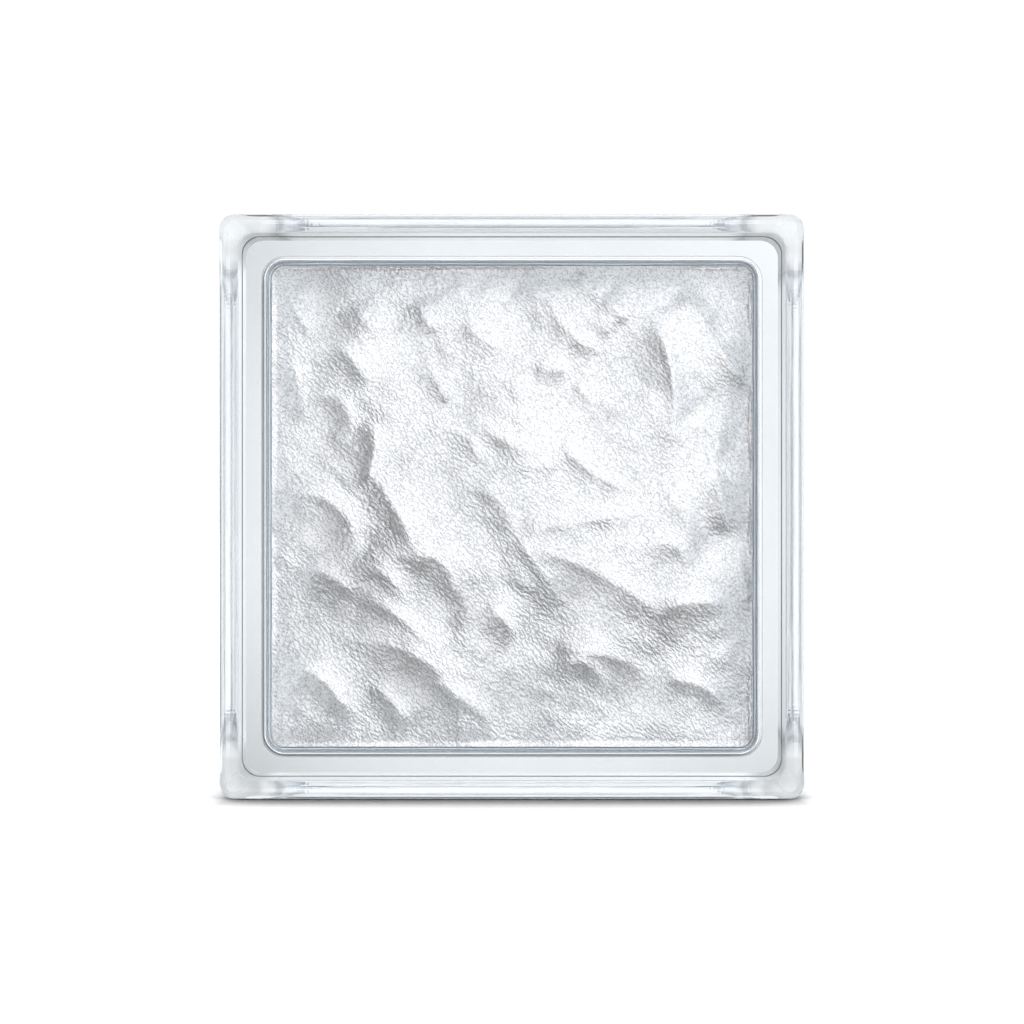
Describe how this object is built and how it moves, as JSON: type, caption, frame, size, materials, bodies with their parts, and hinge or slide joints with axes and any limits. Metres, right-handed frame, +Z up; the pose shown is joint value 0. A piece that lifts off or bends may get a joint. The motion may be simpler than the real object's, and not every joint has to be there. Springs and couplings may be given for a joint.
{
  "type": "glass block",
  "caption": "Square hollow glass building block, two pressed half shells fused at the seam, wavy relief inside both faces, white-coated mortar channel round the edges",
  "frame": {"origin": "middle of the base, on the floor, at mid depth", "axes": "X is the width, Y the depth with the front face towards -Y, Z is up"},
  "size_m": [0.19, 0.08, 0.19],
  "materials": {
    "glass": "clear pressed soda-lime glass, smooth outside, wavy and finely grained inside, faint blue-green at the edges",
    "key_coat": "thin white gritty polymer coat for the mortar"
  },
  "bodies": {
    "root": {"front_shell": "glass", "rear_shell": "glass", "edge_coating": "key_coat"}
  },
  "joints": []
}
